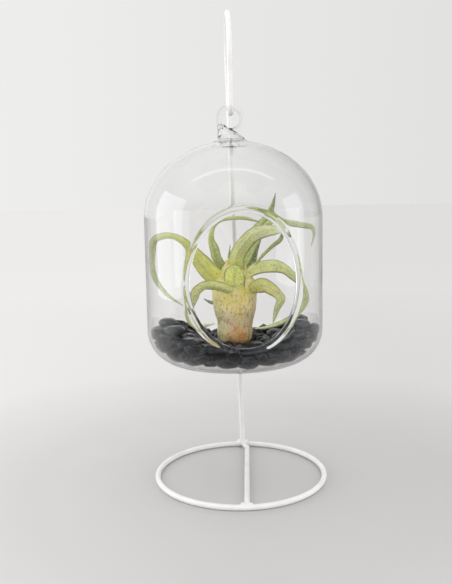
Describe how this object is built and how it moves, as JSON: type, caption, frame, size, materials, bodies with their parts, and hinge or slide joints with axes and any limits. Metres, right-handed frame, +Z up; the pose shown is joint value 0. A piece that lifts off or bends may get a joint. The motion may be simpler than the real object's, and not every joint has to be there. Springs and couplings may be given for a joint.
{
  "type": "air plant holder",
  "caption": "Bent wire stand on a ring base; a domed clear glass cloche with an open front hangs from its hook by a glass eye and holds dark pebbles and an air plant.",
  "frame": {"origin": "centre of the ring base, on the surface that it stands on", "axes": "+Z up along the post, -Y towards the open front, +X to the viewer's right"},
  "size_m": [0.1067, 0.1123, 0.28],
  "materials": {
    "white_wire": "satin white paint on bent wire",
    "clear_glass": "clear blown glass with fire-polished edges",
    "black_pebbles": "dark, smooth and slightly glossy",
    "plant_bulb": "matt, speckled plant tissue",
    "plant_leaves": "matt, with fine silvery scales"
  },
  "bodies": {
    "stand": {"base_ring": "white_wire", "post_wire": "white_wire", "front_weld": "white_wire", "rear_weld": "white_wire"},
    "globe": {"glass_globe": "clear_glass", "hanging_eye": "clear_glass", "pebble_centre": "black_pebbles", "pebbles_inner": "black_pebbles", "pebbles_outer": "black_pebbles", "pebbles_upper": "black_pebbles", "pebbles_wall": "black_pebbles", "pebbles_bank": "black_pebbles"},
    "plant": {"plant_bulb": "plant_bulb", "leaf_left_long": "plant_leaves", "leaf_right_broad": "plant_leaves", "leaf_right_long": "plant_leaves", "leaf_left_low": "plant_leaves", "leaf_right_low": "plant_leaves", "leaf_top_spike": "plant_leaves", "leaf_left_inner": "plant_leaves", "leaf_right_top": "plant_leaves", "leaf_right_thin": "plant_leaves", "leaf_back_short": "plant_leaves", "leaf_back_spike": "plant_leaves", "leaf_front_short": "plant_leaves", "leaf_back_curl": "plant_leaves"}
  },
  "joints": [
    {"name": "globe_swing", "type": "hinge", "parent": "stand", "child": "globe", "pos_m": [-0.003, -0.005, 0.2146], "axis": [0, 1, 0], "range_deg": [-30, 30]},
    {"name": "plant_lift", "type": "slide", "parent": "globe", "child": "plant", "axis": [0, 0, 1], "range_m": [0, 0.008]}
  ]
}
